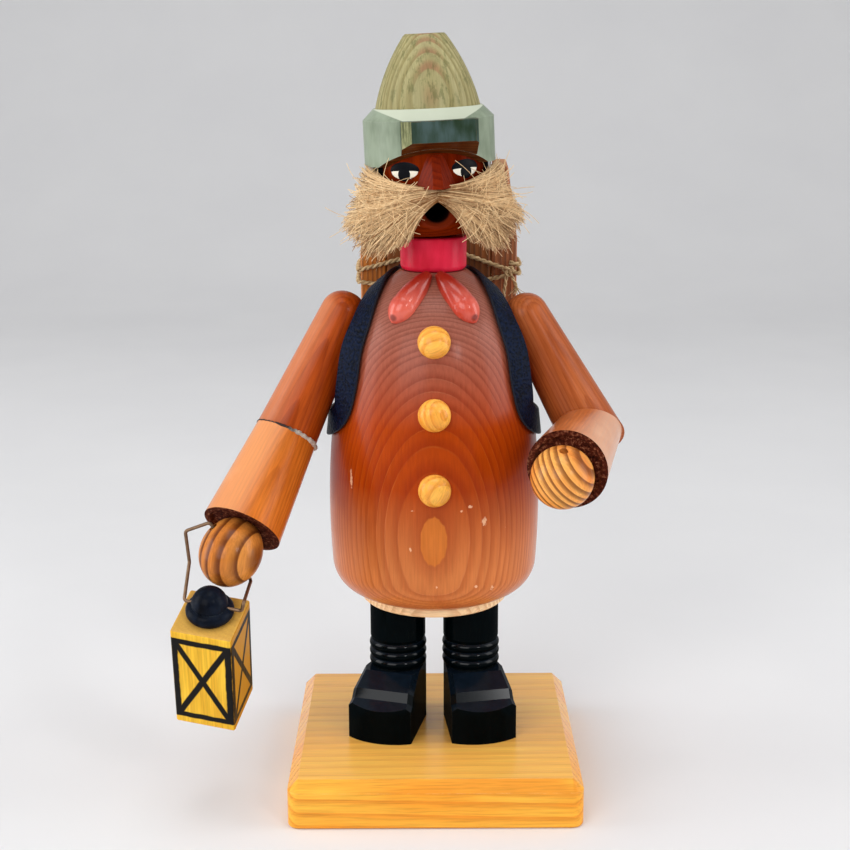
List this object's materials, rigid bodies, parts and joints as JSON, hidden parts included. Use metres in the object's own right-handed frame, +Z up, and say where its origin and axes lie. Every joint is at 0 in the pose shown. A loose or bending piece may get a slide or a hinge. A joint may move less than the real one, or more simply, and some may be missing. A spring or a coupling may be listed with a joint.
{
  "type": "incense smoker figure",
  "caption": "Turned wooden smoking-man figure with hat, lantern and wood bundle; the hollow body lifts off its seat to take an incense cone and the smoke leaves by the mouth.",
  "frame": {"origin": "centre of the board's underside", "axes": "+Z up, -Y the way the figure looks, +X towards the figure's left hand"},
  "size_m": [0.1473, 0.1085, 0.2502],
  "materials": {
    "board_pine": "satin varnish",
    "black_paint": "gloss paint",
    "pale_wood": "plain",
    "tin": "pressed sheet",
    "nail_steel": "plain",
    "incense": "pressed powder",
    "body_wood": "varnish",
    "arm_wood": "varnish",
    "hand_wood": "varnish",
    "button_wood": "varnish",
    "collar_red": "satin paint",
    "kerchief_red": "gloss paint",
    "face_wood": "varnish",
    "hat_green": "satin paint",
    "visor_green": "satin paint",
    "crown_green": "stain",
    "straw_fibre": "loose fibre",
    "strap_leather": "grained",
    "split_wood": "stain",
    "twine": "natural",
    "wire": "plain",
    "lantern_yellow": "paint"
  },
  "bodies": {
    "stand": {"base_board": "board_pine", "right_shoe": "black_paint", "left_shoe": "black_paint", "right_leg": "black_paint", "left_leg": "black_paint", "shoe_dowels": "pale_wood", "seat_plate": "pale_wood", "ember_dish": "tin", "dish_nails": "nail_steel"},
    "cone": {"incense_cone": "incense"},
    "figure": {"torso": "body_wood", "collar": "collar_red", "kerchief_right": "kerchief_red", "kerchief_left": "kerchief_red", "button_top": "button_wood", "button_middle": "button_wood", "button_low": "button_wood", "head": "face_wood", "nose": "face_wood", "beard_right": "straw_fibre", "beard_left": "straw_fibre", "hat_band": "hat_green", "hat_visor": "visor_green", "hat_crown": "crown_green", "right_upper_arm": "arm_wood", "right_forearm": "arm_wood", "right_hand": "hand_wood", "left_upper_arm": "arm_wood", "left_forearm": "arm_wood", "left_hand": "hand_wood", "shoulder_dowels": "pale_wood", "elbow_dowels": "pale_wood", "right_strap": "strap_leather", "left_strap": "strap_leather", "billet_1": "split_wood", "billet_2": "split_wood", "billet_3": "split_wood", "billet_4": "split_wood", "billet_5": "split_wood", "billet_6": "split_wood", "pack_dowels": "pale_wood", "twine_lashing": "twine", "twine_knot": "twine"},
    "lantern": {"lantern_bail": "wire", "lantern_block": "lantern_yellow", "lantern_cap": "black_paint"}
  },
  "joints": [
    {"name": "figure_lift", "type": "slide", "parent": "stand", "child": "figure", "axis": [0, 0, 1], "range_m": [0, 0.06]},
    {"name": "cone_lift", "type": "slide", "parent": "stand", "child": "cone", "axis": [0, 0, 1], "range_m": [0, 0.02]},
    {"name": "lantern_swing", "type": "hinge", "parent": "figure", "child": "lantern", "pos_m": [-0.06424, -0.03908, 0.09122], "axis": [-0.5326, -0.0603, 0.8442], "range_deg": [-35, 35]}
  ]
}
